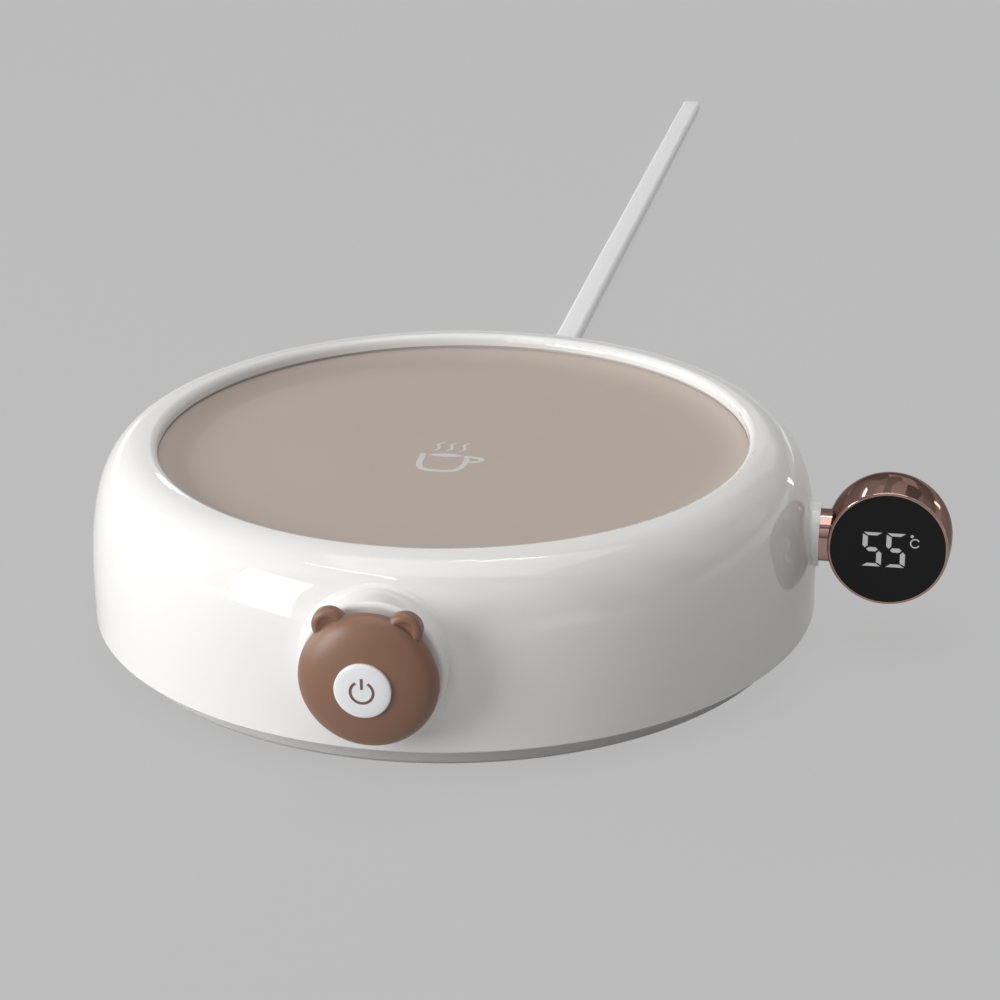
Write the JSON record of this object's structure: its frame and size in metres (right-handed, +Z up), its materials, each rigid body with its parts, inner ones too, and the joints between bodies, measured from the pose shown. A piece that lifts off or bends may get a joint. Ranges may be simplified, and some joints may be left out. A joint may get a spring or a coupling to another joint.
{
  "type": "electric mug warmer",
  "caption": "Low round electric mug warmer: dished heating plate, eared push button in front, swivelling round display at the side and a cord behind.",
  "frame": {"origin": "on the body's axis, in the plane on which the foot ring rests", "axes": "+Z up; -Y towards the button, the user's side; +X towards the display; +Y towards the cord"},
  "size_m": [0.1477, 0.4436, 0.0347],
  "materials": {
    "white_shell": "polished",
    "grey_base": "fine spark-eroded",
    "foot_rubber": "matt",
    "zinc_screw": "zinc plated",
    "plate_coating": "matt taupe heat-resistant coating",
    "silicone": "satin",
    "heater_foil": "satin polyimide",
    "fibre_pad": "felted",
    "pressed_steel": "mill",
    "spring_steel": "drawn",
    "retainer_plastic": "moulded",
    "fuse_case": "satin",
    "circuit_board": "solder resist",
    "black_moulding": "moulded",
    "capacitor_sleeve": "shrink sleeve",
    "film_capacitor": "dipped",
    "fuse_glass": "clear tube with metal caps",
    "terminal_plastic": "moulded",
    "socket_plastic": "moulded",
    "cord_pvc": "satin",
    "clamp_plastic": "moulded",
    "mains_insulation": "satin",
    "heater_insulation": "satin",
    "signal_insulation": "satin",
    "brown_cap": "satin",
    "white_inlay": "satin",
    "bearing_plastic": "moulded acetal",
    "rose_gold": "polished, rose-gold anodised",
    "black_window": "polished black",
    "display_block": "moulded"
  },
  "bodies": {
    "housing": {"base_plate": "grey_base", "base_screws": "zinc_screw", "board_screws": "zinc_screw", "button_spring": "spring_steel", "buzzer": "black_moulding", "clamp_screws": "zinc_screw", "controller_chip": "black_moulding", "cord_clamp": "clamp_plastic", "cord_lead": "cord_pvc", "cord_strain_relief": "cord_pvc", "display_cable": "signal_insulation", "display_socket": "socket_plastic", "filter_capacitor": "film_capacitor", "foot_ring": "foot_rubber", "fuse_clips": "pressed_steel", "fuse_strap": "pressed_steel", "heat_shield": "pressed_steel", "heater_mat": "heater_foil", "heater_terminal": "terminal_plastic", "heater_wires": "heater_insulation", "heating_plate": "plate_coating", "input_fuse": "fuse_glass", "insulation_pad": "fibre_pad", "main_board": "circuit_board", "mains_terminal": "terminal_plastic", "mains_wires": "mains_insulation", "neck_bush": "bearing_plastic", "outer_shell": "white_shell", "plate_retainer": "retainer_plastic", "plate_seal": "silicone", "power_cord": "cord_pvc", "power_triac": "black_moulding", "retainer_screws": "zinc_screw", "sensor_socket": "socket_plastic", "sensor_wires": "signal_insulation", "supply_capacitor": "capacitor_sleeve", "switch_board": "circuit_board", "switch_body": "black_moulding", "switch_cable": "signal_insulation", "switch_socket": "socket_plastic", "temperature_sensor": "pressed_steel", "thermal_fuse": "fuse_case"},
    "button": {"button_cap": "brown_cap", "button_inlay": "white_inlay", "button_stem": "bearing_plastic", "stem_clip": "pressed_steel", "switch_plunger": "bearing_plastic"},
    "display": {"pod_housing": "rose_gold", "display_window": "black_window", "display_module": "display_block", "display_board": "circuit_board", "pod_neck": "rose_gold", "friction_ring": "silicone", "stop_collar": "bearing_plastic"}
  },
  "joints": [
    {"name": "button_press", "type": "slide", "parent": "housing", "child": "button", "axis": [0, 1, 0], "range_m": [0, 0.0012], "stiffness_N_per_m": 600, "springref_m": -0.002, "deforming": ["button_spring"]},
    {"name": "display_swivel", "type": "hinge", "parent": "housing", "child": "display", "pos_m": [0.0746, 0, 0.01945], "axis": [-1, 0, 0], "range_deg": [-20, 90], "deforming": ["display_cable"]}
  ]
}
